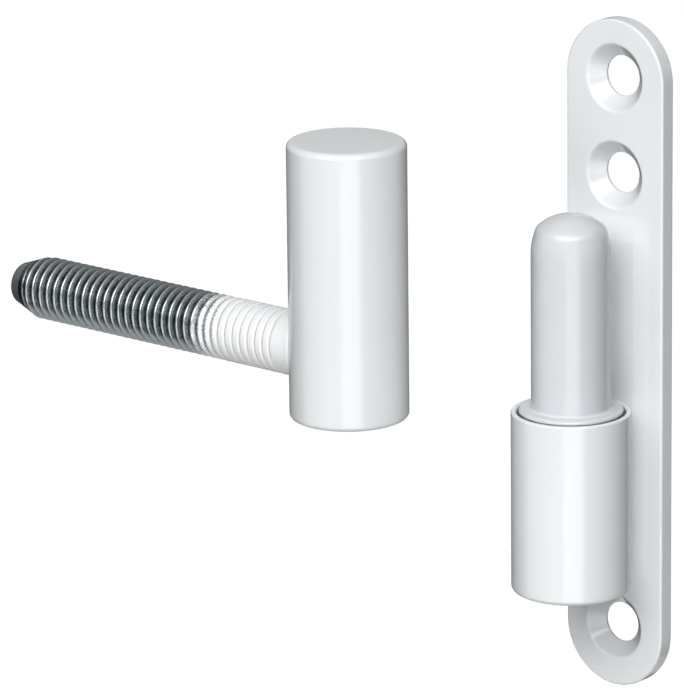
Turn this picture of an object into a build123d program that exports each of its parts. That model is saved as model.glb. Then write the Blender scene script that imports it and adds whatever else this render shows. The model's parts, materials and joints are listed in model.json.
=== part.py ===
from build123d import *
import os
from math import sqrt

# Lift-off renovation hinge in millimetres: a frame half, made of a screwed plate that carries an upright
# pin, and a leaf half, made of a barrel that hangs on that pin and a stud that screws into the door.
# The origin lies on the pin's axis, at the seat where the hung barrel rests on the pin's bearing.
# +Z runs up the pin, X along the plate's width, and the plate's back faces +Y.

# Barrel and socket share one outer diameter, so that they line up when the hinge is hung
BARREL_DIAMETER = 15.0
BARREL_LOWER_ROUND = 0.7

# Socket that holds the pin, with a thin rim around the bearing's collar
SOCKET_LENGTH = 22.9
SOCKET_RIM_WALL = 0.7
SOCKET_RIM_BEVEL = 0.25
COLLAR_GAP = 0.3

# Bearing sleeve over the pin: a domed top above a tapered lead-in, and the collar that carries the barrel
BEARING_DIAMETER = 9.94
BEARING_HEIGHT = 24.7
BEARING_CROWN = 1.8
BEARING_LEAD_LENGTH = 2.2
BEARING_LEAD_INSET = 0.57
BEARING_SHOULDER_ROUND = 0.35
BEARING_TOP_WALL = 2.4
COLLAR_DIAMETER = BARREL_DIAMETER - 2 * (SOCKET_RIM_WALL + COLLAR_GAP)
COLLAR_THICKNESS = 3.0
COLLAR_ROUND = 0.7
COLLAR_PROUD = 0.75

# Steel pin in the socket
PIN_DIAMETER = 7.0
PIN_CLEARANCE = 0.03
PIN_TOP_GAP = 0.1
PIN_CHAMFER = 0.5

# Plate, as wide as the barrel, with a pressed rib that stands clear of the barrel's back
PLATE_WIDTH = BARREL_DIAMETER
PLATE_LENGTH = 86.2
PLATE_THICKNESS = 2.3
PLATE_TOP = 47.6
PLATE_FRONT_BEVEL = 0.35
RIB_HEIGHT = 0.45
RIB_GAP = 0.65
RIB_WIDTH = 11.0
RIB_FLANK = 2.2
RIB_END_FLANK = 3.0
RIB_CORNER = 2.4
RIB_CREST_CORNER = 0.8
RIB_TOP_INSET = 5.1
RIB_BOTTOM_INSET = 6.6

# Countersunk screw holes: an upper pair and one below the socket
SCREW_HOLE_DIAMETER = 5.1
SCREW_HEAD_DIAMETER = 8.7
SCREW_HEAD_ANGLE = 90.0
TOP_HOLE_INSET = 7.4
UPPER_HOLE_PITCH = 12.3
LOWER_HOLE_INSET = 7.9

# Weld between the socket and the rib
WELD_CREST_WIDTH = 4.6
WELD_FOOT_WIDTH = 6.2
WELD_HOLLOW = 0.2
WELD_INSET = 1.5

# Leaf barrel
LEAF_BARREL_HEIGHT = 35.6
LEAF_TOP_ROUND = 0.8
BORE_CLEARANCE = 0.05
BORE_TOP_GAP = 0.6
BORE_CHAMFER = 0.3

# Stud in the side of the leaf barrel
STUD_HEIGHT = 7.95
STUD_DIAMETER = 8.0
STUD_LENGTH = 48.1
STUD_SHOULDER_DIAMETER = 8.2
STUD_SHOULDER_LENGTH = 3.0
STUD_TIP_DIAMETER = 5.2
STUD_TAPER_LENGTH = 4.2
STUD_TIP_BEVEL = 0.4
THREAD_RELIEF_DIAMETER = 6.8
THREAD_RELIEF_WIDTH = 1.0
SPIGOT_DIAMETER = 6.0
SPIGOT_FLOOR = 0.68
SPIGOT_GAP = 0.1

# The leaf half lies lifted off and set down beside the pin; with zeros here it hangs on the pin
LEAF_SET_ASIDE = (-25.1, -12.9, -2.8)

BARREL_RADIUS = BARREL_DIAMETER / 2
BEARING_RADIUS = BEARING_DIAMETER / 2
BORE_RADIUS = BEARING_RADIUS + BORE_CLEARANCE
SIDE_HOLE_START = BORE_RADIUS + SPIGOT_FLOOR
SPIGOT_LENGTH = BARREL_RADIUS - SIDE_HOLE_START - SPIGOT_GAP
PIN_RADIUS = PIN_DIAMETER / 2
SOCKET_TOP = -COLLAR_PROUD
SOCKET_BOTTOM = SOCKET_TOP - SOCKET_LENGTH
PIN_OFFSET = BARREL_RADIUS + RIB_GAP + RIB_HEIGHT
PLATE_BACK = PIN_OFFSET + PLATE_THICKNESS
PLATE_MIDDLE = PLATE_TOP - PLATE_LENGTH / 2
RIB_FACE = PIN_OFFSET - RIB_HEIGHT
TOP_HOLE = PLATE_TOP - TOP_HOLE_INSET
SECOND_HOLE = TOP_HOLE - UPPER_HOLE_PITCH
LOWER_HOLE = PLATE_TOP - PLATE_LENGTH + LOWER_HOLE_INSET


def facing_front(depth):
    """Sketch plane at Y = depth, seen from the front: its x is X, its y is Z and it faces -Y."""
    return Plane(origin=(0, depth, 0), x_dir=(1, 0, 0), z_dir=(0, -1, 0))


def rounded(face, rounds):
    """Flat face with its corners rounded; rounds pairs a (radius, height) corner with a radius."""
    for corner, size in rounds:
        face = fillet(face.vertices().sort_by_distance((*corner, 0))[0], size)
    return face


def bevelled(face, bevels):
    """Flat face with its corners cut; bevels pairs a (radius, height) corner with a width."""
    for corner, size in bevels:
        face = chamfer(face.vertices().sort_by_distance((*corner, 0))[0], size)
    return face


def section(*corners):
    """Flat half section through (radius, height) corners, to be turned about Z."""
    return make_face(Polyline(*corners, close=True))


def turned(face):
    """Solid turned about Z from a half section."""
    return revolve(Plane.XZ * face, Axis.Z)


def rib_form(depth):
    """The rib's raised form on the plane Y = depth: a rounded oblong with sloping sides."""
    top = SECOND_HOLE - RIB_TOP_INSET
    bottom = LOWER_HOLE + RIB_BOTTOM_INSET
    middle = Pos(0, (top + bottom) / 2)
    foot = RectangleRounded(RIB_WIDTH, top - bottom, RIB_CORNER)
    crest = RectangleRounded(RIB_WIDTH - 2 * RIB_FLANK, top - bottom - 2 * RIB_END_FLANK, RIB_CREST_CORNER)
    return loft([facing_front(depth) * middle * foot, facing_front(depth - RIB_HEIGHT) * middle * crest])


def make_mounting_plate():
    """Round-ended plate with three countersunk holes and a rib pressed forward from its back."""
    blank = facing_front(PLATE_BACK) * Pos(0, PLATE_MIDDLE) * SlotOverall(PLATE_LENGTH, PLATE_WIDTH, 90)
    plate = extrude(blank, PLATE_THICKNESS)
    plate = chamfer(plate.faces().sort_by(Axis.Y)[0].edges(), PLATE_FRONT_BEVEL)
    plate = plate + rib_form(PIN_OFFSET) - rib_form(PLATE_BACK)
    for height in (TOP_HOLE, SECOND_HOLE, LOWER_HOLE):
        plate -= facing_front(PIN_OFFSET) * Pos(0, height) * CounterSinkHole(
            SCREW_HOLE_DIAMETER / 2, SCREW_HEAD_DIAMETER / 2, PLATE_THICKNESS, SCREW_HEAD_ANGLE)
    return plate


def make_pin_socket():
    """Short tube that holds the pin, opened out at the top around the bearing's collar."""
    recess = BARREL_RADIUS - SOCKET_RIM_WALL
    recess_floor = -COLLAR_THICKNESS
    outline = [
        (PIN_RADIUS, SOCKET_BOTTOM),
        (BARREL_RADIUS, SOCKET_BOTTOM),
        (BARREL_RADIUS, SOCKET_TOP),
        (recess, SOCKET_TOP),
        (recess, recess_floor),
        (PIN_RADIUS, recess_floor),
    ]
    lower_rim, outer_rim, inner_rim = outline[1:4]
    tube = rounded(section(*outline), [(lower_rim, BARREL_LOWER_ROUND)])
    return turned(bevelled(tube, [(outer_rim, SOCKET_RIM_BEVEL), (inner_rim, SOCKET_RIM_BEVEL)]))


def make_socket_weld():
    """Weld run that fills the wedge between the socket's back and the rib, hollow at both sides."""
    crest_x = WELD_CREST_WIDTH / 2
    crest_y = sqrt(BARREL_RADIUS**2 - crest_x**2)
    foot_x = WELD_FOOT_WIDTH / 2
    waist = ((crest_x + foot_x) / 2 - WELD_HOLLOW, (crest_y + RIB_FACE) / 2)
    on_socket = ThreePointArc((-crest_x, crest_y), (0, BARREL_RADIUS), (crest_x, crest_y))
    right = ThreePointArc((crest_x, crest_y), waist, (foot_x, RIB_FACE))
    on_rib = Line((foot_x, RIB_FACE), (-foot_x, RIB_FACE))
    left = ThreePointArc((-foot_x, RIB_FACE), (-waist[0], waist[1]), (-crest_x, crest_y))
    bead = make_face([on_socket, right, on_rib, left])
    return extrude(Pos(0, 0, SOCKET_BOTTOM + WELD_INSET) * bead, SOCKET_LENGTH - 2 * WELD_INSET)


def make_steel_pin():
    """Plain pin pressed into the socket, chamfered at both ends."""
    top = BEARING_HEIGHT - BEARING_TOP_WALL - PIN_TOP_GAP
    pin = extrude(Pos(0, 0, SOCKET_BOTTOM) * Circle(PIN_RADIUS), top - SOCKET_BOTTOM)
    return chamfer(pin.edges().filter_by(GeomType.CIRCLE), PIN_CHAMFER)


def make_bearing_sleeve():
    """Closed sleeve over the pin, with a round-edged collar that stands proud of the socket's rim."""
    inside = PIN_RADIUS + PIN_CLEARANCE
    ceiling = BEARING_HEIGHT - BEARING_TOP_WALL
    peak = (0, BEARING_HEIGHT)
    shoulder = (BEARING_RADIUS - BEARING_LEAD_INSET, BEARING_HEIGHT - BEARING_CROWN)
    collar_rim = (COLLAR_DIAMETER / 2, 0)
    dome = TangentArc(peak, shoulder, tangent=(1, 0))
    walls = Polyline(
        shoulder,
        (BEARING_RADIUS, BEARING_HEIGHT - BEARING_CROWN - BEARING_LEAD_LENGTH),
        (BEARING_RADIUS, 0),
        collar_rim,
        (COLLAR_DIAMETER / 2, -COLLAR_THICKNESS),
        (inside, -COLLAR_THICKNESS),
        (inside, ceiling),
        (0, ceiling),
        peak,
    )
    rounds = [(shoulder, BEARING_SHOULDER_ROUND), (collar_rim, COLLAR_ROUND)]
    return turned(rounded(make_face([dome, walls]), rounds))


def make_leaf_barrel():
    """Barrel with round rims, a blind bore for the bearing and a side hole for the stud."""
    lower_rim = (BARREL_RADIUS, 0)
    upper_rim = (BARREL_RADIUS, LEAF_BARREL_HEIGHT)
    blank = section((0, 0), lower_rim, upper_rim, (0, LEAF_BARREL_HEIGHT))
    barrel = turned(rounded(blank, [(lower_rim, BARREL_LOWER_ROUND), (upper_rim, LEAF_TOP_ROUND)]))
    mouth = BORE_RADIUS + BORE_CHAMFER
    depth = BEARING_HEIGHT + BORE_TOP_GAP
    barrel -= turned(section(
        (0, 0), (mouth, 0), (BORE_RADIUS, BORE_CHAMFER), (BORE_RADIUS, depth), (0, depth)))
    side_hole = extrude(Circle(SPIGOT_DIAMETER / 2), BARREL_RADIUS)
    return barrel - towards_door(SIDE_HOLE_START) * side_hole


def towards_door(distance):
    """Place on the stud's axis, at a distance from the barrel's axis, with Z pointing to the stud's tip."""
    return Pos(-distance, 0, STUD_HEIGHT) * Rot(0, -90, 0)


def make_threaded_stud():
    """Stud with a shoulder coped to the barrel, a spigot in its side hole, a relief groove and a tapered tip."""
    tip = BARREL_RADIUS + STUD_LENGTH
    shoulder = BARREL_RADIUS + STUD_SHOULDER_LENGTH
    thread = shoulder + THREAD_RELIEF_WIDTH
    tip_rim = (STUD_TIP_DIAMETER / 2, tip)
    outline = section(
        (0, 0),
        (STUD_SHOULDER_DIAMETER / 2, 0),
        (STUD_SHOULDER_DIAMETER / 2, shoulder),
        (THREAD_RELIEF_DIAMETER / 2, shoulder),
        (THREAD_RELIEF_DIAMETER / 2, thread),
        (STUD_DIAMETER / 2, thread),
        (STUD_DIAMETER / 2, tip - STUD_TAPER_LENGTH),
        tip_rim,
        (0, tip),
    )
    shank = towards_door(0) * turned(bevelled(outline, [(tip_rim, STUD_TIP_BEVEL)]))
    shank -= extrude(Circle(BARREL_RADIUS), LEAF_BARREL_HEIGHT)
    spigot = extrude(Circle(SPIGOT_DIAMETER / 2), SPIGOT_LENGTH + STUD_SHOULDER_LENGTH)
    return shank + towards_door(BARREL_RADIUS - SPIGOT_LENGTH) * spigot


set_aside = Pos(*LEAF_SET_ASIDE)
nodes = {
    "mounting_plate": make_mounting_plate(),
    "pin_socket": make_pin_socket(),
    "socket_weld": make_socket_weld(),
    "steel_pin": make_steel_pin(),
    "bearing_sleeve": make_bearing_sleeve(),
    "leaf_barrel": set_aside * make_leaf_barrel(),
    "threaded_stud": set_aside * make_threaded_stud(),
}

os.makedirs("parts", exist_ok=True)
for name, solid in nodes.items():
    export_step(solid, os.path.join("parts", name + ".step"))
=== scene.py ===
"""Lift-off renovation hinge, taken apart: white powder-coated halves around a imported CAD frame."""
import json
import math

import bmesh
import bpy
import numpy as np
from bpy.props import FloatProperty, FloatVectorProperty, PointerProperty
from mathutils import Matrix, Vector


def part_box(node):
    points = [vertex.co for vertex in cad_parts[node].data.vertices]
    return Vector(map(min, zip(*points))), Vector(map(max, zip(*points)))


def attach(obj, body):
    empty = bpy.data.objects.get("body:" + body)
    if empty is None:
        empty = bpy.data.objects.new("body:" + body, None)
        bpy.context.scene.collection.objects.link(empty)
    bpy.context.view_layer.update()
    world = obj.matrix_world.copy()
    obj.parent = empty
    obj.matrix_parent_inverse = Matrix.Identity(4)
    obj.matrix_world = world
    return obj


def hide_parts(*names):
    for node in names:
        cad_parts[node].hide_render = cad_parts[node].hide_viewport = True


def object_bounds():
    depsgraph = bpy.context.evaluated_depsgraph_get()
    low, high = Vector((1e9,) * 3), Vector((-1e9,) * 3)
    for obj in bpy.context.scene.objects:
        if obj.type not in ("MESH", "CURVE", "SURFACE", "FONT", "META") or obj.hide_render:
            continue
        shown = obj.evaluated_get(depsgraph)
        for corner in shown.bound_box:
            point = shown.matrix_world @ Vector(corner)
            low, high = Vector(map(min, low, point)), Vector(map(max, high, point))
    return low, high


bl_info = {
    "name": "Lift-off renovation hinge",
    "version": (1, 0, 0),
    "blender": (4, 5, 0),
    "location": "View3D > Sidebar > Hinge",
    "description": "Builds the finished surfaces of a lift-off hinge around its packed frame",
    "category": "Add Mesh",
}

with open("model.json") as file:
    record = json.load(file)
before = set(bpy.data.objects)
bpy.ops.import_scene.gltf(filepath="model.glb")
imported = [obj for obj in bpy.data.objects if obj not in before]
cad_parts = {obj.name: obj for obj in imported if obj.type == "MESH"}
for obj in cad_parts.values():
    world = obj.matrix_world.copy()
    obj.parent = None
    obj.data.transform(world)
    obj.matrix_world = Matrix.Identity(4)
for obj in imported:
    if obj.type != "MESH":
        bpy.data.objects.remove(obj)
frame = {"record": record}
cad_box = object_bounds()

MM = 0.001
MOUNTS = {mount["name"]: mount for mount in frame["record"]["mounts"]}
MERGE = 0.0001 * MM

# Round of edges that are only broken, not shaped
EDGE_ROUND = 0.08 * MM

# Steps of the surfaces' grids
ARC_STEPS = 12
TURN_STEPS = 160
RUN_STEP = 0.5 * MM
DOME_STEPS = 24
WELD_STEPS = 12
WELD_ROWS = 160
PLATE_END_STEPS = 60
END_CELL_ROWS = 10
MIDDLE_CELL_ROWS = 22
FRONT_RINGS = 8
BACK_RINGS = 10
STUD_STEPS = 128
THREAD_STEPS = 17
TOE_STEPS = 16
PLAIN_STEPS = 6
TIP_STEPS = 8
FACE_STEPS = 6
CARD_STEPS = 24
FLOOR_STEPS = 8


# Values

def linear(code):
    """Linear red, green and blue of an sRGB hex colour."""
    parts = np.array([int(code[i:i + 2], 16) for i in (1, 3, 5)]) / 255
    curve = np.where(parts <= 0.04045, parts / 12.92, ((parts + 0.055) / 1.055) ** 2.4)
    return tuple(float(value) for value in curve)


def length(name, description, millimetres):
    """Length property with its default in millimetres."""
    return FloatProperty(name=name, description=description, default=millimetres * MM, unit="LENGTH",
                         precision=5)


def colour(name, description, code):
    """Colour property with its default as an sRGB hex value."""
    return FloatVectorProperty(name=name, description=description, default=linear(code), subtype="COLOR",
                               size=3, min=0, max=1)


class HingeSizes(bpy.types.PropertyGroup):
    """Sizes of the forms that finish the frame's pieces"""

    rim_round: length("Barrel top round", "Round of the barrel's upper rim", 0.8)
    lower_round: length("Barrel lower round", "Round of the lower rims of the barrel and the socket", 0.7)
    crown: length("Barrel crown", "How far the barrel's top falls from its middle to its rim", 0.15)
    bore_chamfer: length("Bore chamfer", "Chamfer at the mouth of the barrel's bore", 0.3)
    dome_rise: length("Bearing dome", "Height of the bearing's domed top above its shoulder", 1.8)
    lead_length: length("Lead-in length", "Height of the leaning lead-in below the shoulder", 2.2)
    lead_inset: length("Lead-in inset", "How far the lead-in leans inwards up to the shoulder", 0.57)
    dome_round: length("Bearing shoulder round", "Round between the dome and the lead-in", 2.0)
    lead_round: length("Lead-in round", "Round between the lead-in and the sleeve", 8.0)
    bearing_foot: length("Bearing foot", "Small fillet where the bearing's sleeve meets its collar", 0.3)
    collar_round: length("Collar round", "Round of the collar's upper edge", 0.4)
    collar_lip: length("Collar lip", "Round of the collar's lower edge, above its neck", 0.12)
    collar_neck: length("Collar neck", "How far the collar steps in below its lower edge", 0.7)
    lip_drop: length("Collar lip drop", "From the socket's rim down to the collar's lower edge", 0.05)
    neck_drop: length("Collar neck drop", "From the socket's rim down to the top of the neck", 0.4)
    rim_rise: length("Rim rise", "Coat that builds up on the socket's rim", 0.3)
    bearing_wall: length("Bearing wall", "Wall of the bearing round the pin", 1.44)
    bearing_top_wall: length("Bearing top wall", "Wall of the bearing over the pin", 2.4)
    socket_rim_wall: length("Socket rim wall", "Wall of the socket's rim around the collar", 0.7)
    socket_rim_round: length("Socket rim round", "Round of the socket's rim", 0.25)
    pin_chamfer: length("Pin chamfer", "Chamfer at the ends of the steel pin", 0.5)
    plate_round: length("Plate front round", "Round of the plate's front edge", 0.3)
    plate_back_round: length("Plate back round", "Round of the plate's back edge", 0.35)
    head_radius: length("Countersink radius", "Radius of the countersinks at the plate's face", 4.35)
    lip_round: length("Countersink lip", "Round of the countersinks' lips", 0.4)
    rib_height: length("Rib height", "How far the pressed rib stands forward", 0.45)
    rib_half: length("Rib half width", "Half of the rib's width at its foot", 5.5)
    rib_flank: length("Rib flank", "Width of the rib's sloping sides", 2.2)
    rib_end_flank: length("Rib end flank", "Length of the rib's sloping ends", 3.0)
    rib_crest_bend: length("Rib crest bend", "Reach of the bend where a slope meets the rib's top", 0.18)
    rib_foot_bend: length("Rib foot bend", "Reach of the bend where a slope meets the plate", 0.3)
    rib_top_inset: length("Rib top inset", "From the second screw hole down to the rib's upper end", 5.1)
    rib_bottom_inset: length("Rib bottom inset", "From the lowest screw hole up to the rib's lower end", 6.6)
    weld_ripple: length("Weld ripple", "Spacing of the ripples along the weld", 0.9)
    shoulder_length: length("Shoulder length", "Plain length of the stud beside the barrel", 1.8)
    first_root: length("First root", "From the barrel's side to the thread's first root, in front", 2.25)
    thread_pitch: length("Thread pitch", "Pitch of the stud's M8 thread", 1.25)
    thread_depth: length("Thread depth", "Depth of the stud's M8 thread", 0.767)
    taper_length: length("Tip taper", "Length of the stud's tapered tip", 4.2)
    tip_radius: length("Tip radius", "Radius of the stud's end face", 2.6)
    tip_round: length("Tip round", "Round of the stud's end face", 0.5)
    plating: length("Plating", "How far zinc and paint stand over the thread's nominal crest", 0.08)
    stud_flare: length("Stud flare", "Paint fillet where the stud leaves the barrel", 0.3)
    stud_crease: length("Stud crease", "Depth of the crease beside that fillet", 0.14)
    paint_fill: length("Paint fill", "How far paint fills the thread's roots beside the barrel", 0.3)
    paint_reach: length("Paint reach", "Covered length of the stud from the barrel's surface", 9.9)
    paint_fade: length("Paint fade", "Speckled length after it, where the overspray ends", 7.5)


class HingeFinishes(bpy.types.PropertyGroup):
    """Colours of the hinge and of the studio"""

    coat: colour("Powder coat", "White gloss powder coat", "#EDEFF0")
    coat_shade: colour("Powder coat shade", "Thinner, cooler places of the powder coat", "#E6EAEC")
    # Painted shade: a greyer coat colour laid into the countersinks
    coat_recess_shade: colour("Thin coat", "Powder coat where it is thin, in the countersinks", "#DCDFE1")
    plastic: colour("Bearing plastic", "Light grey moulded plastic of the bearing", "#DADDE0")
    plastic_shade: colour("Bearing plastic shade", "Darker flow marks of that plastic", "#D3D6DA")
    zinc: colour("Zinc plate", "Zinc plate on the thread", "#949A9D")
    # Painted shade: a dark plate colour laid into the thread's roots
    zinc_root_shade: colour("Zinc plate in roots", "Darker, oily plate in the thread's roots", "#202425")
    overspray: colour("Overspray", "Thin white paint on the thread by the barrel", "#F6F7F8")
    # Painted shade: a grey paint colour laid into the thread's roots
    overspray_root_shade: colour("Overspray in roots", "Thinner paint in the thread's roots", "#8A9194")
    tip_black: colour("Tip", "Black end of the stud", "#596061")
    steel: colour("Bright steel", "Ground steel of the pin", "#B9BBBD")
    floor: colour("Floor", "Pale grey paper floor", "#A8A8A8")


# Meshes

def unit(vector):
    """Vector of length one."""
    return vector / np.linalg.norm(vector)


def rounded_profile(corners, rounds, step=RUN_STEP):
    """Open profile through corners, with an arc of a given round at each inner corner.

    An arc leaves its incoming run at round * tan(turn / 2) before the corner. Its centre lies one round off
    that run, and its points are the centre plus round * (sin(a) along the run - cos(a) across it), for a from
    0 to the turn.
    """
    corners = np.asarray(corners, float)
    parts = []
    start = corners[0]
    for before, here, after, size in zip(corners, corners[1:], corners[2:], rounds):
        along = unit(here - before)
        onward = unit(after - here)
        turn = math.acos(max(-1.0, min(1.0, float(along @ onward))))
        reach = size * math.tan(turn / 2)
        arc_start = here - reach * along
        parts.append(straight_run(start, arc_start, step))
        across = unit(onward - (onward @ along) * along)
        angle = np.linspace(0, turn, ARC_STEPS + 1)[1:-1, None]
        parts.append(arc_start + size * across + size * (np.sin(angle) * along - np.cos(angle) * across))
        start = here + reach * onward
    parts.append(straight_run(start, corners[-1], step))
    return np.concatenate(parts)


def straight_run(start, end, step):
    """Points from start to end, both included, at most one step apart."""
    count = max(1, math.ceil(np.linalg.norm(end - start) / step))
    return np.linspace(start, end, count + 1)


def grid_faces(rows, columns, wrap, first=0):
    """Four-cornered faces of a grid of points, closed from its last column to its first where it wraps."""
    index = np.arange(rows * columns).reshape(rows, columns) + first
    if wrap:
        index = np.concatenate([index, index[:, :1]], axis=1)
    return np.stack([index[:-1, :-1], index[:-1, 1:], index[1:, 1:], index[1:, :-1]], axis=-1).reshape(-1, 4)


def add_object(name, data):
    """Object with its data, linked to the scene."""
    item = bpy.data.objects.new(name, data)
    bpy.context.scene.collection.objects.link(item)
    return item


def make_piece(name, grids, material, body, node):
    """One smooth closed mesh from grids of points, each given with whether it wraps, standing for a node."""
    faces = []
    first = 0
    for points, wrap in grids:
        rows, columns = points.shape[:2]
        faces.append(grid_faces(rows, columns, wrap, first))
        first += rows * columns
    vertices = np.concatenate([points.reshape(-1, 3) for points, _ in grids])
    mesh = bpy.data.meshes.new(name)
    mesh.from_pydata(vertices, [], np.concatenate(faces))
    shell = bmesh.new()
    shell.from_mesh(mesh)
    bmesh.ops.remove_doubles(shell, verts=shell.verts, dist=MERGE)
    bmesh.ops.dissolve_degenerate(shell, edges=shell.edges, dist=MERGE)
    bmesh.ops.recalc_face_normals(shell, faces=shell.faces)
    shell.to_mesh(mesh)
    shell.free()
    mesh.shade_smooth()
    mesh.materials.append(material)
    piece = add_object(name, mesh)
    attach(piece, body)
    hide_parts(node)
    return piece


def turned(profile, centre):
    """Grid of a (radius, height) profile turned about the upright line through a centre point.

    A point lies at centre + (radius * cos(a), radius * sin(a), height), for angles a all round.
    """
    angle = np.linspace(0, 2 * np.pi, TURN_STEPS, endpoint=False)
    radius = profile[:, :1]
    height = np.broadcast_to(profile[:, 1:], (len(profile), TURN_STEPS))
    ring = np.stack([radius * np.cos(angle), radius * np.sin(angle), height], axis=-1)
    return ring + np.asarray(centre)


def node_box(node):
    """Lowest and highest corner of a node as arrays."""
    low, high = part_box(node)
    return np.array(low), np.array(high)


def mount_size(name, key):
    """A mount's size in metres."""
    return MOUNTS[name]["dims"][key] * MM


def axis_foot(low, high):
    """Foot of an upright piece's axis, at the height zero of its frame."""
    return np.array([(low[0] + high[0]) / 2, (low[1] + high[1]) / 2, 0.0])


def screw_heights():
    """Heights of the screw holes from top to bottom, from the two bolt patterns."""
    heights = set()
    for name in ("end_screws", "upper_screws"):
        middle = MOUNTS[name]["pos_m"][2]
        spread = mount_size(name, "spacing_y_mm") / 2
        heights |= {round(middle - spread, 6), round(middle + spread, 6)}
    return sorted(heights, reverse=True)


# Pieces

def build_barrel(sizes, coat):
    """Barrel of the leaf half: turned, with a slightly crowned top and a blind bore."""
    low, high = node_box("leaf_barrel")
    radius = (high[0] - low[0]) / 2
    bore = mount_size("barrel_bore", "r_mm")
    bore_end = low[2] + sizes.bore_chamfer + mount_size("barrel_bore", "length_mm")
    corners = [
        (0, high[2]), (radius, high[2]), (radius, low[2]),
        (bore + sizes.bore_chamfer, low[2]), (bore, low[2] + sizes.bore_chamfer),
        (bore, bore_end), (0, bore_end),
    ]
    rounds = [sizes.rim_round, sizes.lower_round, EDGE_ROUND, EDGE_ROUND, EDGE_ROUND]
    profile = rounded_profile(corners, rounds)
    crown_reach = 3 * sizes.rim_round
    near_top = np.clip((profile[:, 1] - high[2]) / crown_reach + 1, 0, 1)
    profile[:, 1] -= sizes.crown * near_top * (profile[:, 0] / radius) ** 2
    make_piece("painted_barrel", [(turned(profile, axis_foot(low, high)), True)], coat, "leaf_half",
               "leaf_barrel")


def build_socket(sizes, coat):
    """Socket of the frame half: a turned tube whose rim stands round the bearing's collar."""
    low, high = node_box("pin_socket")
    pin_low, pin_high = node_box("steel_pin")
    collar_foot = node_box("bearing_sleeve")[0][2]
    radius = (high[0] - low[0]) / 2
    bore = (pin_high[0] - pin_low[0]) / 2
    recess = radius - sizes.socket_rim_wall
    rim_top = high[2] + sizes.rim_rise
    corners = [
        (bore, low[2]), (radius, low[2]), (radius, rim_top), (recess, rim_top),
        (recess, collar_foot), (bore, collar_foot), (bore, low[2]),
    ]
    rim = sizes.socket_rim_round
    profile = rounded_profile(corners, [sizes.lower_round, rim, rim, EDGE_ROUND, EDGE_ROUND])
    make_piece("painted_socket", [(turned(profile, axis_foot(low, high)), True)], coat, "frame_half",
               "pin_socket")


def dome_over(shoulder, rise, lead, size):
    """Profile of a round dome from the axis down to a shoulder, with a round into the lead-in below it.

    The dome is an arc of radius (r * r + rise * rise) / (2 * rise) about a centre on the axis, where r is the
    shoulder's radius. The round's centre lies one round inside the lead-in's line, where its distance from
    the dome's centre is the difference of the two radii. A point at angle a from upright lies at centre +
    radius * (sin(a), cos(a)).
    """
    radius = (shoulder[0] ** 2 + rise ** 2) / (2 * rise)
    centre = np.array([0.0, shoulder[1] + rise - radius])
    along = unit(lead - shoulder)
    start = shoulder + size * np.array([along[1], -along[0]]) - centre
    reach = -start @ along - math.sqrt((start @ along) ** 2 - start @ start + (radius - size) ** 2)
    round_centre = centre + start + reach * along
    meets = math.atan2(*(round_centre - centre))
    dome = np.linspace(0, meets, DOME_STEPS + 1)[:, None]
    bend = np.linspace(meets, math.atan2(-along[1], along[0]), ARC_STEPS + 1)[1:, None]
    return np.concatenate([
        centre + radius * np.concatenate([np.sin(dome), np.cos(dome)], axis=1),
        round_centre + size * np.concatenate([np.sin(bend), np.cos(bend)], axis=1),
    ])


def build_bearing(sizes, plastic):
    """Bearing: a moulded sleeve with a domed top over a lead-in, a small foot fillet and a thrust collar.

    The collar steps in to a neck where it goes down into the socket, which leaves a shadow line at the rim.
    """
    low, high = node_box("bearing_sleeve")
    collar = (high[0] - low[0]) / 2
    neck = collar - sizes.collar_neck
    radius = mount_size("hinge_pin", "r_mm")
    seat = MOUNTS["hinge_pin"]["pos_m"][2]
    inside = radius - sizes.bearing_wall
    ceiling = high[2] - sizes.bearing_top_wall
    rim_top = node_box("pin_socket")[1][2] + sizes.rim_rise
    shoulder = np.array([radius - sizes.lead_inset, high[2] - sizes.dome_rise])
    lead = np.array([radius, shoulder[1] - sizes.lead_length])
    dome = dome_over(shoulder, sizes.dome_rise, lead, sizes.dome_round)
    corners = [
        dome[-1], lead, (radius, seat), (collar, seat),
        (collar, rim_top - sizes.lip_drop), (neck, rim_top - sizes.neck_drop), (neck, low[2]),
        (inside, low[2]), (inside, ceiling), (0, ceiling),
    ]
    rounds = [sizes.lead_round, sizes.bearing_foot, sizes.collar_round, sizes.collar_lip]
    rounds += [EDGE_ROUND] * 4
    profile = np.concatenate([dome[:-1], rounded_profile(corners, rounds)])
    make_piece("moulded_bearing", [(turned(profile, axis_foot(low, high)), True)], plastic, "frame_half",
               "bearing_sleeve")


def build_pin(sizes, steel):
    """Steel pin, seen only at its chamfered lower end."""
    low, high = node_box("steel_pin")
    radius = (high[0] - low[0]) / 2
    cut = sizes.pin_chamfer
    corners = [
        (0, high[2]), (radius - cut, high[2]), (radius, high[2] - cut),
        (radius, low[2] + cut), (radius - cut, low[2]), (0, low[2]),
    ]
    edge = 0.06 * MM
    profile = rounded_profile(corners, [edge, edge, edge, edge])
    make_piece("ground_pin", [(turned(profile, axis_foot(low, high)), True)], steel, "frame_half",
               "steel_pin")


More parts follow.
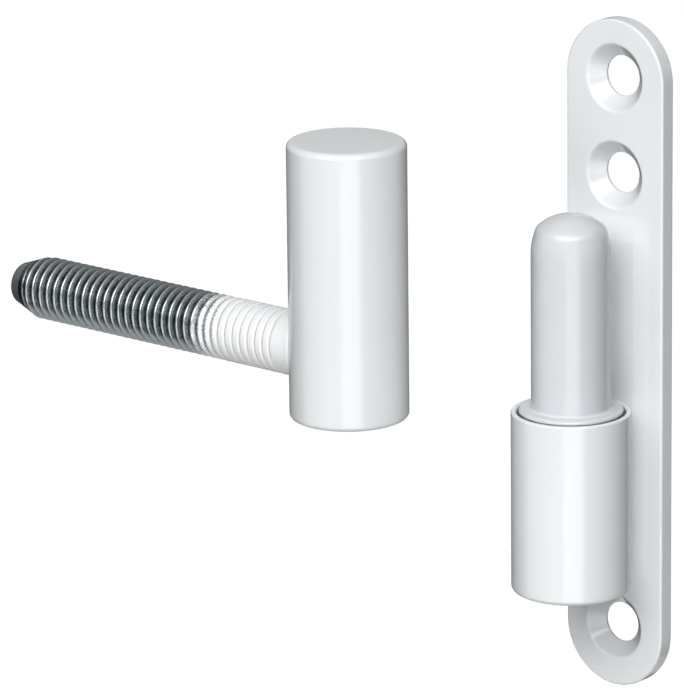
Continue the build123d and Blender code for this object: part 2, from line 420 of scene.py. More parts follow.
def build_weld(sizes, coat):
    """Weld between the socket's back and the rib: two hollow sides with ripples, thinning to both ends.

    Going across, the width runs from the crest's to the foot's, less hollow * 4t(1 - t). Along the weld it
    swells by a cosine of the ripple's spacing, and at its ends it follows a quarter circle to nothing.
    """
    low, high = node_box("socket_weld")
    foot_half = (high[0] - low[0]) / 2
    crest_half = 0.74 * foot_half
    hollow = 0.2 * MM
    sunk = 0.05 * MM
    end_length = 1.2 * MM
    ripple = 0.006
    socket_low, socket_high = node_box("pin_socket")
    radius = (socket_high[0] - socket_low[0]) / 2 - sunk
    t = np.linspace(0, 1, WELD_STEPS + 1)
    side = crest_half + (foot_half - crest_half) * t - hollow * 4 * t * (1 - t)
    depth = np.sqrt(radius ** 2 - crest_half ** 2) * (1 - t) + (high[1] + sunk) * t
    across = np.linspace(1, -1, WELD_STEPS + 1)[1:-1]
    width = np.concatenate([side, across * foot_half, -side[::-1], -across * crest_half])
    y = np.concatenate([depth, np.full(len(across), high[1] + sunk), depth[::-1],
                        np.sqrt(radius ** 2 - (across * crest_half) ** 2)])
    z = np.linspace(low[2], high[2], WELD_ROWS + 1)[:, None]
    from_end = np.clip(np.minimum(z - low[2], high[2] - z) / end_length, 0, 1)
    swell = np.sqrt(1 - (1 - from_end) ** 2) * (1 + ripple * np.cos(2 * np.pi * z / sizes.weld_ripple))
    points = np.stack(np.broadcast_arrays(width * swell, y, z), axis=-1)
    make_piece("painted_weld", [(points, True)], coat, "frame_half", "socket_weld")


def smooth(t):
    """Smooth step from 0 to 1 over t from 0 to 1, with level ends."""
    t = np.clip(t, 0, 1)
    return t * t * (3 - 2 * t)


def bent_ramp(t, width, foot_bend, crest_bend):
    """Straight ramp from 0 to 1 over t from 0 to a width, bent softly at its foot and at its crest.

    It is (bent(t) - bent(t - width)) / width, where bent(t) is 0 below -bend, t above +bend, and between them
    the parabola (t + bend) squared / (4 * bend).
    """
    def bent(t, bend):
        return np.where(t > bend, t, np.clip(t + bend, 0, None) ** 2 / (4 * bend))

    return (bent(t, foot_bend) - bent(t - width, crest_bend)) / width


def rib_rise(sizes, x, z, top, bottom):
    """Rise of the pressed rib: a bent ramp up its sides times one up its ends."""
    bends = (sizes.rib_foot_bend, sizes.rib_crest_bend)
    sides = bent_ramp(sizes.rib_half - np.abs(x), sizes.rib_flank, *bends)
    ends = bent_ramp(np.minimum(top - z, z - bottom), sizes.rib_end_flank, *bends)
    return sizes.rib_height * sides * ends


def stepped_runs(places, steps):
    """Ascending points through places, each run divided into its number of steps."""
    runs = [np.linspace(a, b, n + 1)[:-1] for a, b, n in zip(places, places[1:], steps)]
    return np.concatenate([*runs, places[-1:]])


def rib_columns(sizes, edge):
    """Places across the plate from one edge to the other, close together where the rib's sides bend."""
    crest = sizes.rib_half - sizes.rib_flank
    crest_reach = 2 * sizes.rib_crest_bend
    foot_reach = 1.5 * sizes.rib_foot_bend
    places = [0, crest - crest_reach, crest + crest_reach, sizes.rib_half - foot_reach,
              sizes.rib_half + foot_reach, edge]
    steps = (8, 10, 6, 10, 5)
    half = stepped_runs(places, steps)
    return np.concatenate([-half[:0:-1], half])


def plate_edge(half, arc_low, arc_high, sides, inset):
    """Points round the plate's outline, moved in by an inset: right side, top arc, left side, bottom arc."""
    arc = np.linspace(0, np.pi, PLATE_END_STEPS + 1)[1:-1]
    reach = half - inset
    right = np.stack([np.full(len(sides), reach), sides], axis=-1)
    left = np.stack([np.full(len(sides), -reach), sides[::-1]], axis=-1)
    top = np.stack([reach * np.cos(arc), arc_high + reach * np.sin(arc)], axis=-1)
    bottom = np.stack([-reach * np.cos(arc), arc_low - reach * np.sin(arc)], axis=-1)
    return right, top, left, bottom


def cross_line(columns, z, leftwards):
    """Inner points of the straight line across the plate at a height."""
    x = columns[-2:0:-1] if leftwards else columns[1:-1]
    return np.stack([x, np.full(len(x), z)], axis=-1)


def hole_rings(angle, height, profile):
    """Rings of a screw hole: each (radius, depth) of its profile, at angles round the hole's axis."""
    radius = profile[:, :1]
    x = radius * np.cos(angle)
    z = height + radius * np.sin(angle)
    y = np.broadcast_to(profile[:, 1:], x.shape)
    return np.stack([x, y, z], axis=-1)


def spread_rings(inner, outer, depth, steps):
    """Rings that go evenly from an inner ring to an outer outline on the level face at a depth."""
    t = np.linspace(0, 1, steps + 1)[:, None]
    x = inner[:, 0] * (1 - t) + outer[:, 0] * t
    z = inner[:, 2] * (1 - t) + outer[:, 1] * t
    return np.stack([x, np.full_like(x, depth), z], axis=-1)


def build_plate(sizes, coat):
    """Plate with round ends, soft edges, a pressed rib and three countersunk holes.

    Each hole has a cell of its own: rings go from its wall and cone over its lip to the cell's outline. The
    rib lies on a grid between the second and the lowest cell. The same cells close the back, and the edge's
    profile is carried round the outline between the two faces.
    """
    low, high = node_box("mounting_plate")
    half = (high[0] - low[0]) / 2
    back = high[1]
    front = low[1] + sizes.rib_height
    arc_low = low[2] + half
    arc_high = high[2] - half
    holes = screw_heights()
    rib_top = holes[1] - sizes.rib_top_inset
    rib_bottom = holes[2] + sizes.rib_bottom_inset
    hole = mount_size("end_screws", "hole_r_mm")
    below_rib = 0.9 * MM
    above_rib = 0.3 * MM
    splits = [rib_bottom - below_rib, rib_top + above_rib, (holes[0] + holes[1]) / 2]

    low_crest = rib_bottom + sizes.rib_end_flank
    high_crest = rib_top - sizes.rib_end_flank
    bend = 2 * sizes.rib_crest_bend
    row_places = [splits[0], rib_bottom + bend, low_crest - bend, low_crest + bend, high_crest - bend,
                  high_crest + bend, rib_top - bend, splits[1]]
    row_steps = (12, 6, 10, 40, 10, 6, 8)
    rib_rows = stepped_runs(row_places, row_steps)
    stretches = [
        np.linspace(arc_low, splits[0], END_CELL_ROWS + 1),
        rib_rows,
        np.linspace(splits[1], splits[2], MIDDLE_CELL_ROWS + 1),
        np.linspace(splits[2], arc_high, END_CELL_ROWS + 1),
    ]
    sides = np.concatenate([stretches[0]] + [stretch[1:] for stretch in stretches[1:]])

    def cell_outlines(inset):
        """Outlines of the three hole cells, from the top one down, each going round from its right side."""
        columns = rib_columns(sizes, half - inset)
        low_edge, middle_edge, top_edge = (
            plate_edge(half, arc_low, arc_high, stretches[i], inset) for i in (0, 2, 3))
        return [
            np.concatenate([*top_edge[:3], cross_line(columns, splits[2], False)]),
            np.concatenate([middle_edge[0], cross_line(columns, splits[2], True), middle_edge[2],
                            cross_line(columns, splits[1], False)]),
            np.concatenate([low_edge[0], cross_line(columns, splits[0], True), *low_edge[2:]]),
        ]

    edge = sizes.plate_back_round
    cone_end = front + sizes.head_radius - hole
    lip_reach = sizes.lip_round * math.tan(math.pi / 8)
    cone_round = 0.15 * MM
    hole_profile = rounded_profile(
        [(hole + edge, back), (hole, back), (hole, cone_end), (sizes.head_radius, front),
         (sizes.head_radius + lip_reach, front)],
        [edge, cone_round, sizes.lip_round], step=0.2 * MM)

    grids = []
    outlines = zip(cell_outlines(sizes.plate_round), cell_outlines(edge), holes)
    for front_outline, back_outline, height in outlines:
        angle = np.arctan2(front_outline[:, 1] - height, front_outline[:, 0])
        rings = hole_rings(angle, height, hole_profile)
        grids.append((rings, True))
        grids.append((spread_rings(rings[-1], front_outline, front, FRONT_RINGS), True))
        grids.append((spread_rings(rings[0], back_outline, back, BACK_RINGS), True))

    for inset, depth in ((sizes.plate_round, front), (edge, back)):
        x = rib_columns(sizes, half - inset)
        z = rib_rows[:, None]
        y = depth - rib_rise(sizes, x, z, rib_top, rib_bottom)
        grids.append((np.stack(np.broadcast_arrays(x, y, z), axis=-1), False))

    edge_profile = rounded_profile([(sizes.plate_round, front), (0, front), (0, back), (edge, back)],
                                   [sizes.plate_round, edge], step=0.3 * MM)
    outer = np.concatenate(plate_edge(half, arc_low, arc_high, sides, 0))
    inner = np.concatenate(plate_edge(half, arc_low, arc_high, sides, sizes.plate_round))
    inward = (inner - outer) / sizes.plate_round
    inset = edge_profile[:, :1]
    x = outer[:, 0] + inset * inward[:, 0]
    z = outer[:, 1] + inset * inward[:, 1]
    y = np.broadcast_to(edge_profile[:, 1:], x.shape)
    grids.append((np.stack([x, y, z], axis=-1), True))
    piece = make_piece("painted_plate", grids, coat, "frame_half", "mounting_plate")
    mark_countersink_shade(piece, sizes, holes, back - edge)


# Painted shade in the countersinks comes from this attribute: the coat is drawn greyer there
def mark_countersink_shade(piece, sizes, holes, limit):
    """Point attribute of the plate: one in the countersinks, zero elsewhere and behind a limit."""
    points = np.empty(3 * len(piece.data.vertices), dtype=np.float32)
    piece.data.vertices.foreach_get("co", points)
    points = points.reshape(-1, 3)
    from_axis = np.hypot(points[:, :1], points[:, 2:] - np.array(holes)).min(axis=1)
    shaded = 1 - smooth((from_axis - sizes.head_radius) / sizes.lip_round + 1)
    shaded[points[:, 1] > limit] = 0
    attribute = piece.data.attributes.new("countersink_shade", "FLOAT", "POINT")
    attribute.data.foreach_set("value", shaded.astype(np.float32))


def thread_rise(from_root):
    """Height of a 60 degree thread from 0 at its root to 1 at its crest, which lie half a turn apart.

    The flank is a straight ramp, with small bends into the root and over the crest.
    """
    root_land = 0.17
    flank = 0.71
    root_bend = 0.09
    crest_bend = 0.1
    return bent_ramp(from_root - root_land, flank, root_bend, crest_bend)


def stud_ends():
    """Distances of the barrel's side and of the stud's tip from the barrel's axis."""
    low, high = node_box("leaf_barrel")
    return (high[0] - low[0]) / 2, axis_foot(low, high)[0] - node_box("threaded_stud")[0][0]


def build_stud(sizes, plated):
    """Stud with its real right-hand thread: its radius at each distance along it and angle round it.

    The envelope is a small flare on the barrel, the shoulder, the thread's crest and the tapered tip. The
    thread's turns are (distance - first root) / pitch + angle / a full turn, it runs out at the shoulder, and
    near the barrel paint fills its roots and leaves narrow grooves.
    """
    low, high = node_box("threaded_stud")
    barrel_axis = axis_foot(*node_box("leaf_barrel"))
    side, tip = stud_ends()
    shoulder_end = side + sizes.shoulder_length
    shoulder_radius = (high[2] - low[2]) / 2
    crest = mount_size("door_stud", "r_mm") + sizes.plating
    axis_height = (low[2] + high[2]) / 2
    toe_end = side + 2 * sizes.stud_flare

    toe = np.linspace(side, toe_end, TOE_STEPS + 1)
    plain = np.linspace(toe_end, shoulder_end, PLAIN_STEPS + 1)[1:]
    count = math.ceil((tip - shoulder_end) / sizes.thread_pitch * THREAD_STEPS)
    threaded = np.linspace(shoulder_end, tip - sizes.tip_round, count)[1:]
    s = np.concatenate([toe, plain, threaded])[:, None]
    crease_place = 1.1
    crease_width = 0.25
    from_side = (s - side) / sizes.stud_flare
    crease = sizes.stud_crease * np.exp(-((from_side - crease_place) / crease_width) ** 2)
    flare = sizes.stud_flare * np.clip(1 - from_side, 0, 1) ** 2
    envelope = flare - crease + np.interp(
        s, [shoulder_end, shoulder_end + sizes.thread_pitch, tip - sizes.taper_length, tip],
        [shoulder_radius, crest, crest, sizes.tip_radius])

    angle = np.linspace(0, 2 * np.pi, STUD_STEPS, endpoint=False)
    turns = (s - side - sizes.first_root) / sizes.thread_pitch + angle / (2 * np.pi)
    from_root = np.abs(2 * (turns - np.floor(turns)) - 1)
    groove_width = 0.4
    filled = sizes.paint_fill / sizes.thread_depth
    painted_rise = filled + (1 - filled) * smooth(from_root / groove_width)
    painted = 1 - smooth((s - side - sizes.paint_reach) / sizes.paint_fade)
    rise = (1 - painted) * thread_rise(from_root) + painted * painted_rise
    run_out_length = 0.4 * sizes.thread_pitch
    run_out = smooth((s - shoulder_end) / run_out_length)
    wall = np.minimum(crest - sizes.thread_depth * (1 - rise), envelope)
    wall = envelope + run_out * (wall - envelope)

    end_turn = np.linspace(0, np.pi / 2, TIP_STEPS + 1)[1:, None]
    end_round = wall[-1].min() - sizes.tip_round * (1 - np.cos(end_turn))
    end_face = np.linspace(1, 0, FACE_STEPS + 1)[1:, None] * end_round[-1]
    first_face = np.linspace(0, 1, FACE_STEPS)[:, None] * envelope[0]
    first = np.repeat(first_face, STUD_STEPS, axis=1)
    last = np.repeat(np.concatenate([end_round, end_face]), STUD_STEPS, axis=1)
    radius = np.concatenate([first, wall, last])
    along = np.concatenate([
        np.full((FACE_STEPS, 1), side),
        s,
        tip - sizes.tip_round + sizes.tip_round * np.sin(end_turn),
        np.full((FACE_STEPS, 1), tip),
    ])

    y = radius * np.cos(angle)
    z = radius * np.sin(angle)
    sunk = 0.1 * MM
    coped = np.sqrt((side - sunk) ** 2 - y ** 2)
    near = 1 - smooth((along - side) / sizes.shoulder_length)
    along = along + near * (coped - side)
    points = np.stack([barrel_axis[0] - along, barrel_axis[1] + y, axis_height + z], axis=-1)
    make_piece("plated_stud", [(points, True)], plated, "leaf_half", "threaded_stud")


# Materials. A Mix node of colours takes them at inputs 6 and 7, and gives the mixed one at output 2.

def add_node(tree, kind, inputs=None, **settings):
    """Shader node of a kind, with its settings, and with a value or a feeding socket for each input named."""
    node = tree.nodes.new("ShaderNode" + kind)
    for key, value in settings.items():
        setattr(node, key, value)
    for key, value in (inputs or {}).items():
        if isinstance(value, bpy.types.NodeSocket):
            tree.links.new(value, node.inputs[key])
        else:
            node.inputs[key].default_value = value
    return node


def new_material(name):
    """Material with an empty node tree."""
    material = bpy.data.materials.new(name)
    material.use_nodes = True
    tree = material.node_tree
    tree.nodes.clear()
    return material, tree


def per_size(millimetres):
    """Scale of a pattern on Object coordinates whose features have a size in millimetres."""
    return 1 / (millimetres * MM)


def rgba(value):
    """Colour with an alpha of one."""
    return (*value, 1.0)


def powder_coat(finishes):
    """White gloss powder coat on steel, sprayed and baked.

    It flows out to a glossy skin with a faint orange peel, seen as slow waves in the lights' reflections. Its
    tint and gloss drift a little, and painted shade makes it greyer in the countersinks, where the plate's
    attribute for it is one.
    """
    if "white_powder_coat" in bpy.data.materials:
        return bpy.data.materials["white_powder_coat"]
    material, tree = new_material("white_powder_coat")
    place = add_node(tree, "TexCoord").outputs["Object"]
    drift = add_node(tree, "TexNoise", {
        "Vector": place, "Scale": per_size(14), "Detail": 2.0}).outputs["Fac"]
    tint = add_node(tree, "Mix", {
        "Factor": drift, 6: rgba(finishes.coat), 7: rgba(finishes.coat_shade)}, data_type="RGBA")
    # Painted shade: the coat is mixed towards a greyer colour in the countersinks
    shaded = add_node(tree, "Attribute", attribute_name="countersink_shade").outputs["Fac"]
    shaded_tint = add_node(tree, "Mix", {
        "Factor": shaded, 6: tint.outputs[2], 7: rgba(finishes.coat_recess_shade)}, data_type="RGBA")
    gloss = add_node(tree, "MapRange", {"Value": drift, "To Min": 0.12, "To Max": 0.18})
    peel = add_node(tree, "TexNoise", {"Vector": place, "Scale": per_size(1.6), "Detail": 1.0})
    bump = add_node(tree, "Bump", {"Height": peel.outputs["Fac"], "Strength": 0.25, "Distance": 0.02 * MM})
    shader = add_node(tree, "BsdfPrincipled", {
        "Base Color": shaded_tint.outputs[2], "Roughness": gloss.outputs["Result"], "IOR": 1.5,
        "Normal": bump.outputs["Normal"]})
    add_node(tree, "OutputMaterial", {"Surface": shader.outputs["BSDF"]})
    return material


def bearing_plastic(finishes):
    """Light grey acetal, moulded in a fine-ground cavity.

    It is smooth and slightly waxy: clear soft-edged highlights, faint flow marks and a very fine grain.
    """
    material, tree = new_material("moulded_acetal")
    place = add_node(tree, "TexCoord").outputs["Object"]
    flow = add_node(tree, "TexNoise", {"Vector": place, "Scale": per_size(6), "Detail": 3.0}).outputs["Fac"]
    tint = add_node(tree, "Mix", {
        "Factor": flow, 6: rgba(finishes.plastic), 7: rgba(finishes.plastic_shade)}, data_type="RGBA")
    gloss = add_node(tree, "MapRange", {"Value": flow, "To Min": 0.15, "To Max": 0.2})
    grain = add_node(tree, "TexNoise", {"Vector": place, "Scale": per_size(0.25), "Detail": 1.0})
    bump = add_node(tree, "Bump", {
        "Height": grain.outputs["Fac"], "Strength": 0.12, "Distance": 0.006 * MM})
    shader = add_node(tree, "BsdfPrincipled", {
        "Base Color": tint.outputs[2], "Roughness": gloss.outputs["Result"], "IOR": 1.48,
        "Normal": bump.outputs["Normal"]})
    add_node(tree, "OutputMaterial", {"Surface": shader.outputs["BSDF"]})
    return material


def plated_thread(finishes, sizes):
    """Zinc-plated rolled steel thread, with white overspray by the barrel and a black end.

    The flanks are bright, and painted shade darkens the plate towards the roots. Paint covers the thread
    near the barrel, then breaks up into fine specks, which last longest on the flanks that face the barrel;
    painted shade greys the paint in its roots.
    """
    low, high = node_box("threaded_stud")
    barrel_axis = axis_foot(*node_box("leaf_barrel"))
    side = barrel_axis[0] - stud_ends()[0]
    crest = mount_size("door_stud", "r_mm") + sizes.plating
    root = crest - sizes.thread_depth
    tip_plain = (root - sizes.tip_radius) / (crest - sizes.tip_radius) * sizes.taper_length
    tip_edge = low[0] + tip_plain
    tip_blur = 0.1 * MM
    paint_end = side - sizes.paint_reach
    first_root = side - sizes.first_root
    per_turn = 2 * math.pi / sizes.thread_pitch

    material, tree = new_material("zinc_plated_thread")
    place = add_node(tree, "TexCoord").outputs["Object"]
    centred = add_node(tree, "VectorMath", {
        0: place, 1: (0, barrel_axis[1], (low[2] + high[2]) / 2)}, operation="SUBTRACT")
    parts = add_node(tree, "SeparateXYZ", {"Vector": centred.outputs[0]}).outputs
    along = parts["X"]
    across = add_node(tree, "VectorMath", {0: centred.outputs[0], 1: (0, 1, 1)}, operation="MULTIPLY")
    distance = add_node(tree, "VectorMath", {0: across.outputs[0]}, operation="LENGTH")
    radius = distance.outputs["Value"]
    rise = add_node(tree, "MapRange", {
        "Value": radius, "From Min": root, "From Max": crest - 0.2 * sizes.thread_depth,
        "To Min": -0.15, "To Max": 1.1}, clamp=False).outputs["Result"]

    # Painted shade: the plate darkens towards the thread's roots, by radius, mixed with a random stain
    stain = add_node(tree, "TexNoise", {"Vector": place, "Scale": per_size(0.5), "Detail": 3.0})
    rubbed = add_node(tree, "Math", {0: stain.outputs["Fac"], 1: 0.5}, operation="SUBTRACT")
    stain_and_root_shade = add_node(tree, "Math", {
        0: rubbed.outputs[0], 1: 0.9, 2: rise}, operation="MULTIPLY_ADD", use_clamp=True)
    metal = add_node(tree, "Mix", {
        "Factor": stain_and_root_shade.outputs[0], 6: rgba(finishes.zinc_root_shade), 7: rgba(finishes.zinc)}, data_type="RGBA")

    black = add_node(tree, "MapRange", {
        "Value": along, "From Min": tip_edge + tip_blur, "From Max": tip_edge - tip_blur}).outputs["Result"]
    ended = add_node(tree, "Mix", {
        "Factor": black, 6: metal.outputs[2], 7: rgba(finishes.tip_black)}, data_type="RGBA")

    cover = add_node(tree, "MapRange", {
        "Value": along, "From Min": paint_end - sizes.paint_fade, "From Max": paint_end,
        "To Min": -0.6, "To Max": 1.6}).outputs["Result"]
    round_angle = add_node(tree, "Math", {0: parts["Z"], 1: parts["Y"]}, operation="ARCTAN2")
    turned_by = add_node(tree, "Math", {
        0: along, 1: -per_turn, 2: first_root * per_turn}, operation="MULTIPLY_ADD")
    phase = add_node(tree, "Math", {0: turned_by.outputs[0], 1: round_angle.outputs[0]}, operation="ADD")
    flank = add_node(tree, "Math", {0: phase.outputs[0]}, operation="SINE")
    faced = add_node(tree, "Math", {0: flank.outputs[0], 1: -0.3, 2: cover}, operation="MULTIPLY_ADD")
    specks = add_node(tree, "TexNoise", {"Vector": place, "Scale": per_size(0.16), "Detail": 1.0})
    spread = add_node(tree, "MapRange", {
        "Value": specks.outputs["Fac"], "From Min": 0.3, "From Max": 0.7, "To Min": -0.45, "To Max": 0.45})
    speckled = add_node(tree, "Math", {0: faced.outputs[0], 1: spread.outputs["Result"]}, operation="ADD")
    painted = add_node(tree, "MapRange", {
        "Value": speckled.outputs[0], "From Min": 0.05, "From Max": 0.85}).outputs["Result"]

    # Painted shade: the paint is drawn grey in the thread's roots, by radius
    groove_shade = add_node(tree, "MapRange", {
        "Value": radius, "From Min": root + sizes.paint_fill,
        "From Max": crest - 0.25 * sizes.thread_depth}).outputs["Result"]
    paint = add_node(tree, "Mix", {
        "Factor": groove_shade, 6: rgba(finishes.overspray_root_shade), 7: rgba(finishes.overspray)},
        data_type="RGBA")
    tint = add_node(tree, "Mix", {
        "Factor": painted, 6: ended.outputs[2], 7: paint.outputs[2]}, data_type="RGBA")
    bare = add_node(tree, "Math", {0: 1.0, 1: painted}, operation="SUBTRACT")
    plated = add_node(tree, "Math", {0: 1.0, 1: black}, operation="SUBTRACT")
    metallic = add_node(tree, "Math", {0: bare.outputs[0], 1: plated.outputs[0]}, operation="MULTIPLY")
    gloss = add_node(tree, "MapRange", {"Value": stain.outputs["Fac"], "To Min": 0.16, "To Max": 0.34})
    bump = add_node(tree, "Bump", {
        "Height": specks.outputs["Fac"], "Strength": 0.3, "Distance": 0.015 * MM})
    shader = add_node(tree, "BsdfPrincipled", {
        "Base Color": tint.outputs[2], "Metallic": metallic.outputs[0], "Roughness": gloss.outputs["Result"],
        "Normal": bump.outputs["Normal"]})
    add_node(tree, "OutputMaterial", {"Surface": shader.outputs["BSDF"]})
    return material


def bright_steel(finishes):
    """Centreless-ground bright steel, with faint turning rings on its end faces."""
    material, tree = new_material("ground_steel")
    place = add_node(tree, "TexCoord").outputs["Object"]
    rings = add_node(tree, "TexWave", {
        "Vector": place, "Scale": per_size(0.3) / 20, "Distortion": 0.4},
        wave_type="RINGS", rings_direction="Z")
    gloss = add_node(tree, "MapRange", {"Value": rings.outputs["Fac"], "To Min": 0.2, "To Max": 0.34})
    bump = add_node(tree, "Bump", {"Height": rings.outputs["Fac"], "Strength": 0.2, "Distance": 0.01 * MM})
    shader = add_node(tree, "BsdfPrincipled", {
        "Base Color": rgba(finishes.steel), "Metallic": 1.0, "Roughness": gloss.outputs["Result"],
        "Normal": bump.outputs["Normal"]})
    add_node(tree, "OutputMaterial", {"Surface": shader.outputs["BSDF"]})
    return material


# Stage

CAMERA_AZIMUTH = math.radians(40.641)
CAMERA_ELEVATION = math.radians(15.899)
CAMERA_ROLL = math.radians(-0.667)
CAMERA_DISTANCE = 752.38 * MM
CAMERA_LENS = 313.26
CAMERA_SENSOR = 36.0
TARGET_SIDE = -28.292 * MM
TARGET_HEIGHT = 7.673 * MM
FLOOR_DROP = 420 * MM
FLOOR_SIZE = 8.0

# Name, degrees to the right of the camera, elevation in degrees, distance, width and height in metres, power
# in watts, and whether gloss shows the lamp
LAMPS = (
    ("key", -12, 40, 1.0, 1.5, 0.75, 13.4, True),
    ("core", -9, 36, 0.95, 0.25, 0.2, 1.3, True),
    ("back", 182, 6, 1.2, 0.7, 0.5, 11.0, False),
    ("bounce", 6, -30, 0.18, 0.1, 0.06, 0.052, False),
)

# Name, ends in degrees to the right of the camera, heights and distance in metres, material and its glow
CARDS = (
    ("back_card", (78, 262), (-0.4, 0.04), 0.5, "black_card", 0.05),
    ("side_card", (25, 78), (-0.4, 0.3), 0.5, "grey_card", 0.1),
    ("backdrop", (78, 262), (0.04, 0.6), 0.5, "pale_card", 0.45),
    ("bright_card", (-14, 24), (-0.5, 0.03), 0.6, "white_card", 2.8),
)


def direction(azimuth, elevation):
    """Unit vector from the hinge towards an azimuth and elevation; azimuth 0 lies in front, at -Y."""
    level = math.cos(elevation)
    return Vector((math.sin(azimuth) * level, -math.cos(azimuth) * level, math.sin(elevation)))


def from_camera(degrees):
    """Azimuth that lies a number of degrees to the right of the camera."""
    return CAMERA_AZIMUTH + math.radians(degrees)


def target_point():
    """Point that the camera looks at, to one side of the pin's axis."""
    along = Vector((math.cos(CAMERA_AZIMUTH), math.sin(CAMERA_AZIMUTH), 0))
    return TARGET_SIDE * along + Vector((0, 0, TARGET_HEIGHT))


def seen_directly(tree):
    """Factor that is one for rays from the camera, from gloss and through glass."""
    path = add_node(tree, "LightPath").outputs
    first = add_node(tree, "Math", {0: path["Is Camera Ray"], 1: path["Is Glossy Ray"]},
                     operation="MAXIMUM")
    return add_node(tree, "Math", {0: first.outputs[0], 1: path["Is Transmission Ray"]},
                    operation="MAXIMUM").outputs[0]


def add_camera():
    """Long-lens camera at the photograph's viewing angle, with its slight roll."""
    back = direction(CAMERA_AZIMUTH, CAMERA_ELEVATION)
    level_right = Vector((math.cos(CAMERA_AZIMUTH), math.sin(CAMERA_AZIMUTH), 0))
    level_up = back.cross(level_right)
    right = level_right * math.cos(CAMERA_ROLL) + level_up * math.sin(CAMERA_ROLL)
    up = back.cross(right)
    lens = bpy.data.cameras.new("camera")
    lens.lens = CAMERA_LENS
    lens.sensor_width = CAMERA_SENSOR
    lens.clip_start = 0.01
    lens.clip_end = 20
    camera = add_object("camera", lens)
    turn = Matrix((right, up, back)).transposed().to_4x4()
    camera.matrix_world = Matrix.Translation(target_point() + back * CAMERA_DISTANCE) @ turn
    bpy.context.scene.camera = camera


def add_lamp(name, turn, elevation, distance, width, height, power, in_gloss):
    """Soft lamp, wide by high, that faces the hinge from a turn off the camera's azimuth and an elevation."""
    light = bpy.data.lights.new(name, "AREA")
    light.shape = "RECTANGLE"
    light.size = width
    light.size_y = height
    light.energy = power
    lamp = add_object(name, light)
    towards = direction(from_camera(turn), math.radians(elevation))
    lamp.location = target_point() + towards * distance
    lamp.rotation_euler = towards.to_track_quat("Z", "Y").to_euler()
    lamp.visible_glossy = in_gloss


def add_sheet(name, points, material):
    """Sheet of the stage from one grid of points."""
    mesh = bpy.data.meshes.new(name)
    mesh.from_pydata(points.reshape(-1, 3), [], grid_faces(*points.shape[:2], False))
    mesh.materials.append(material)
    sheet = add_object(name, mesh)
    return sheet


def add_card(name, turns, heights, distance, shade, glow):
    """Upright curved card round the hinge, seen in gloss only: turns off the camera's azimuth, by heights.

    A point lies at the target + (distance * sin(a), -distance * cos(a), height).
    """
    a = np.linspace(from_camera(turns[0]), from_camera(turns[1]), CARD_STEPS + 1)[:, None]
    z = np.array(heights)
    ring = np.stack(np.broadcast_arrays(distance * np.sin(a), -distance * np.cos(a), z), axis=-1)
    card = add_sheet(name, ring + np.array(target_point()), card_material(shade, glow))
    card.visible_camera = False
    card.visible_diffuse = False
    card.visible_shadow = False


# Cards glow and show only in gloss: glowing sheets that give reflections and light nothing
def card_material(name, glow):
    """Plain card that shows one level of grey in gloss."""
    material, tree = new_material(name)
    shown = add_node(tree, "Emission", {"Color": (1, 1, 1, 1), "Strength": glow})
    add_node(tree, "OutputMaterial", {"Surface": shown.outputs[0]})
    return material


def floor_paper(finishes):
    """Pale paper: matt, and lifted to white with distance for rays that see it directly."""
    material, tree = new_material("floor_paper")
    place = add_node(tree, "TexCoord").outputs["Object"]
    flat = add_node(tree, "VectorMath", {0: place, 1: (1, 1, 0)}, operation="MULTIPLY")
    away = add_node(tree, "VectorMath", {0: flat.outputs[0]}, operation="LENGTH").outputs["Value"]
    lift = add_node(tree, "MapRange", {
        "Value": away, "From Min": 0.15, "From Max": 0.8, "To Min": 0.5, "To Max": 1.0}).outputs["Result"]
    shown = add_node(tree, "Math", {0: lift, 1: seen_directly(tree)}, operation="MULTIPLY")
    paper = add_node(tree, "BsdfDiffuse", {"Color": rgba(finishes.floor)})
    glow = add_node(tree, "Emission", {"Color": (1, 1, 1, 1), "Strength": shown.outputs[0]})
    both = add_node(tree, "AddShader", {0: paper.outputs[0], 1: glow.outputs[0]})
    add_node(tree, "OutputMaterial", {"Surface": both.outputs[0]})
    return material


def add_floor(finishes):
    """Level floor, well below the hinge, so that its shadow falls outside the camera's view."""
    side = np.linspace(-FLOOR_SIZE / 2, FLOOR_SIZE / 2, FLOOR_STEPS + 1)
    z = cad_box[0].z - FLOOR_DROP
    points = np.stack(np.broadcast_arrays(side, side[:, None], z), axis=-1)
    add_sheet("floor", points, floor_paper(finishes))


def light_world():
    """White surroundings for rays that see them directly, and a faint cool fill on the hinge."""
    world = bpy.data.worlds.new("studio")
    world.use_nodes = True
    tree = world.node_tree
    tree.nodes.clear()
    white = add_node(tree, "Background", {"Color": (1, 1, 1, 1), "Strength": 1.0})
    fill = add_node(tree, "Background", {"Color": rgba(linear("#DCE6F0")), "Strength": 0.01})
    mixed = add_node(tree, "MixShader", {0: seen_directly(tree), 1: fill.outputs[0], 2: white.outputs[0]})
    add_node(tree, "OutputWorld", {"Surface": mixed.outputs[0]})
    bpy.context.scene.world = world


# Operators

class HINGE_OT_leaf_barrel(bpy.types.Operator):
    """Build the barrel that hangs on the pin"""

    bl_idname = "hinge.leaf_barrel"
    bl_label = "Leaf barrel"

    def execute(self, context):
        build_barrel(context.scene.hinge_sizes, powder_coat(context.scene.hinge_finishes))
        return {"FINISHED"}


class HINGE_OT_threaded_stud(bpy.types.Operator):
    """Build the threaded stud in the barrel's side"""

    bl_idname = "hinge.threaded_stud"
    bl_label = "Threaded stud"

    def execute(self, context):
        sizes = context.scene.hinge_sizes
        build_stud(sizes, plated_thread(context.scene.hinge_finishes, sizes))
        return {"FINISHED"}


class HINGE_OT_bearing_pin(bpy.types.Operator):
    """Build the steel pin and the bearing over it"""

    bl_idname = "hinge.bearing_pin"
    bl_label = "Pin and bearing"

    def execute(self, context):
        sizes = context.scene.hinge_sizes
        finishes = context.scene.hinge_finishes
        build_pin(sizes, bright_steel(finishes))
        build_bearing(sizes, bearing_plastic(finishes))
        return {"FINISHED"}


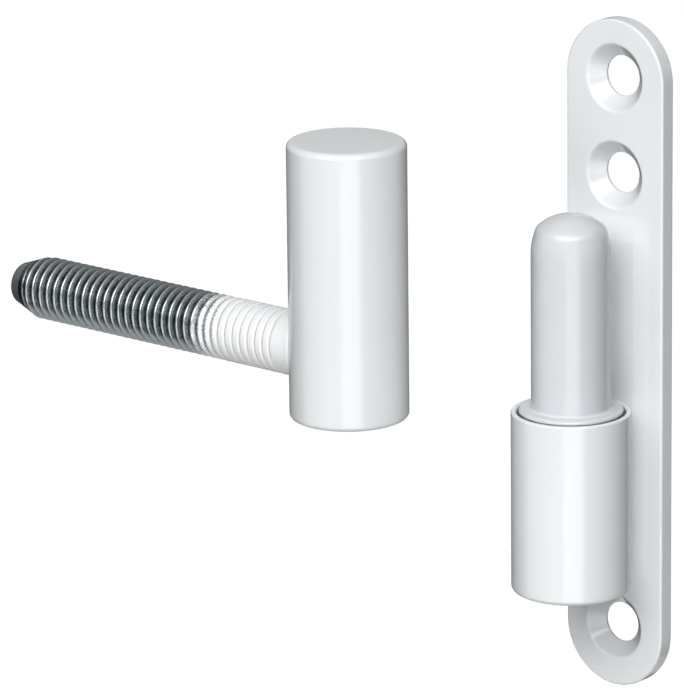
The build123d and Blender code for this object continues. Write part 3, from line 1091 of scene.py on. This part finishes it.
class HINGE_OT_plate_and_socket(bpy.types.Operator):
    """Build the screwed plate, the socket and the weld between them"""

    bl_idname = "hinge.plate_and_socket"
    bl_label = "Plate, socket and weld"

    def execute(self, context):
        sizes = context.scene.hinge_sizes
        coat = powder_coat(context.scene.hinge_finishes)
        build_plate(sizes, coat)
        build_socket(sizes, coat)
        build_weld(sizes, coat)
        return {"FINISHED"}


class HINGE_OT_stage(bpy.types.Operator):
    """Set up the floor, the lamps, the cards and the camera"""

    bl_idname = "hinge.stage"
    bl_label = "Studio"

    def execute(self, context):
        context.scene.view_settings.view_transform = "Standard"
        light_world()
        add_floor(context.scene.hinge_finishes)
        for lamp in LAMPS:
            add_lamp(*lamp)
        for card in CARDS:
            add_card(*card)
        add_camera()
        return {"FINISHED"}


class HINGE_PT_builder(bpy.types.Panel):
    """Sidebar list of the hinge's steps and settings"""

    bl_label = "Renovation hinge"
    bl_idname = "HINGE_PT_builder"
    bl_space_type = "VIEW_3D"
    bl_region_type = "UI"
    bl_category = "Hinge"

    def draw(self, context):
        for operator in OPERATORS:
            self.layout.operator(operator.bl_idname)
        for group in (context.scene.hinge_sizes, context.scene.hinge_finishes):
            for name in group.__annotations__:
                self.layout.prop(group, name)


OPERATORS = (HINGE_OT_leaf_barrel, HINGE_OT_threaded_stud, HINGE_OT_bearing_pin, HINGE_OT_plate_and_socket,
             HINGE_OT_stage)
CLASSES = (HingeSizes, HingeFinishes, *OPERATORS, HINGE_PT_builder)


def register():
    """Register the classes and hang their settings on the scene."""
    for item in CLASSES:
        bpy.utils.register_class(item)
    bpy.types.Scene.hinge_sizes = PointerProperty(type=HingeSizes)
    bpy.types.Scene.hinge_finishes = PointerProperty(type=HingeFinishes)


def unregister():
    """Take the settings off the scene and unregister the classes."""
    del bpy.types.Scene.hinge_finishes
    del bpy.types.Scene.hinge_sizes
    for item in reversed(CLASSES):
        bpy.utils.unregister_class(item)


def main():
    """Build the hinge and its stage."""
    register()
    bpy.ops.hinge.leaf_barrel()
    bpy.ops.hinge.threaded_stud()
    bpy.ops.hinge.bearing_pin()
    bpy.ops.hinge.plate_and_socket()
    bpy.ops.hinge.stage()


if __name__ == "__main__":
    main()
